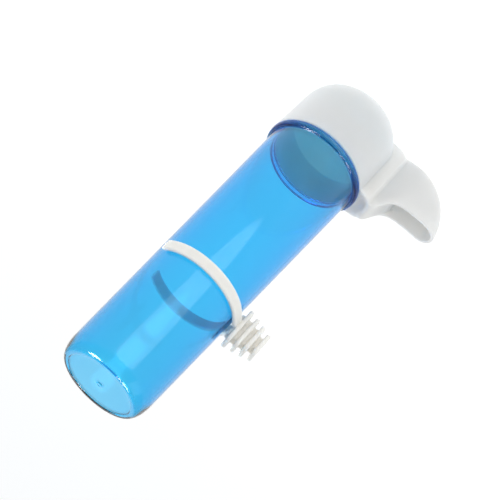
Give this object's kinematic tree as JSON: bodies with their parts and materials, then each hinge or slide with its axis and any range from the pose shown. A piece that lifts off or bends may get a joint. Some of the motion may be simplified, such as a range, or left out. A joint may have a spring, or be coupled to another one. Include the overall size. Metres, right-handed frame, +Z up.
{
  "type": "small animal siphon drinker",
  "caption": "Upright translucent water tube in a white cup-shaped cap with a deep open drinking scoop, held by a C-shaped clip with a grooved block for cage wires.",
  "frame": {"origin": "centre of the cap's flat bottom, on the tube's axis", "axes": "+Z up the tube's axis to its closed end, -Y towards the drinking scoop and the clip's grooved block, X across them"},
  "size_m": [0.0494, 0.0866, 0.185],
  "materials": {
    "tube_blue": "clear blue tinted, polished injection moulding",
    "cap_white": "white, satin gloss injection moulding",
    "clip_white": "white, satin gloss injection moulding"
  },
  "bodies": {
    "clip": {"cage_clip": "clip_white"},
    "tube": {"reservoir_tube": "tube_blue"},
    "cap": {"spout_cap": "cap_white"}
  },
  "joints": [
    {"name": "tube_slide", "type": "slide", "parent": "clip", "child": "tube", "axis": [0, 0, -1], "range_m": [0, 0.047]},
    {"name": "cap_pull", "type": "slide", "parent": "tube", "child": "cap", "axis": [0, 0, -1], "range_m": [0, 0.025]}
  ]
}
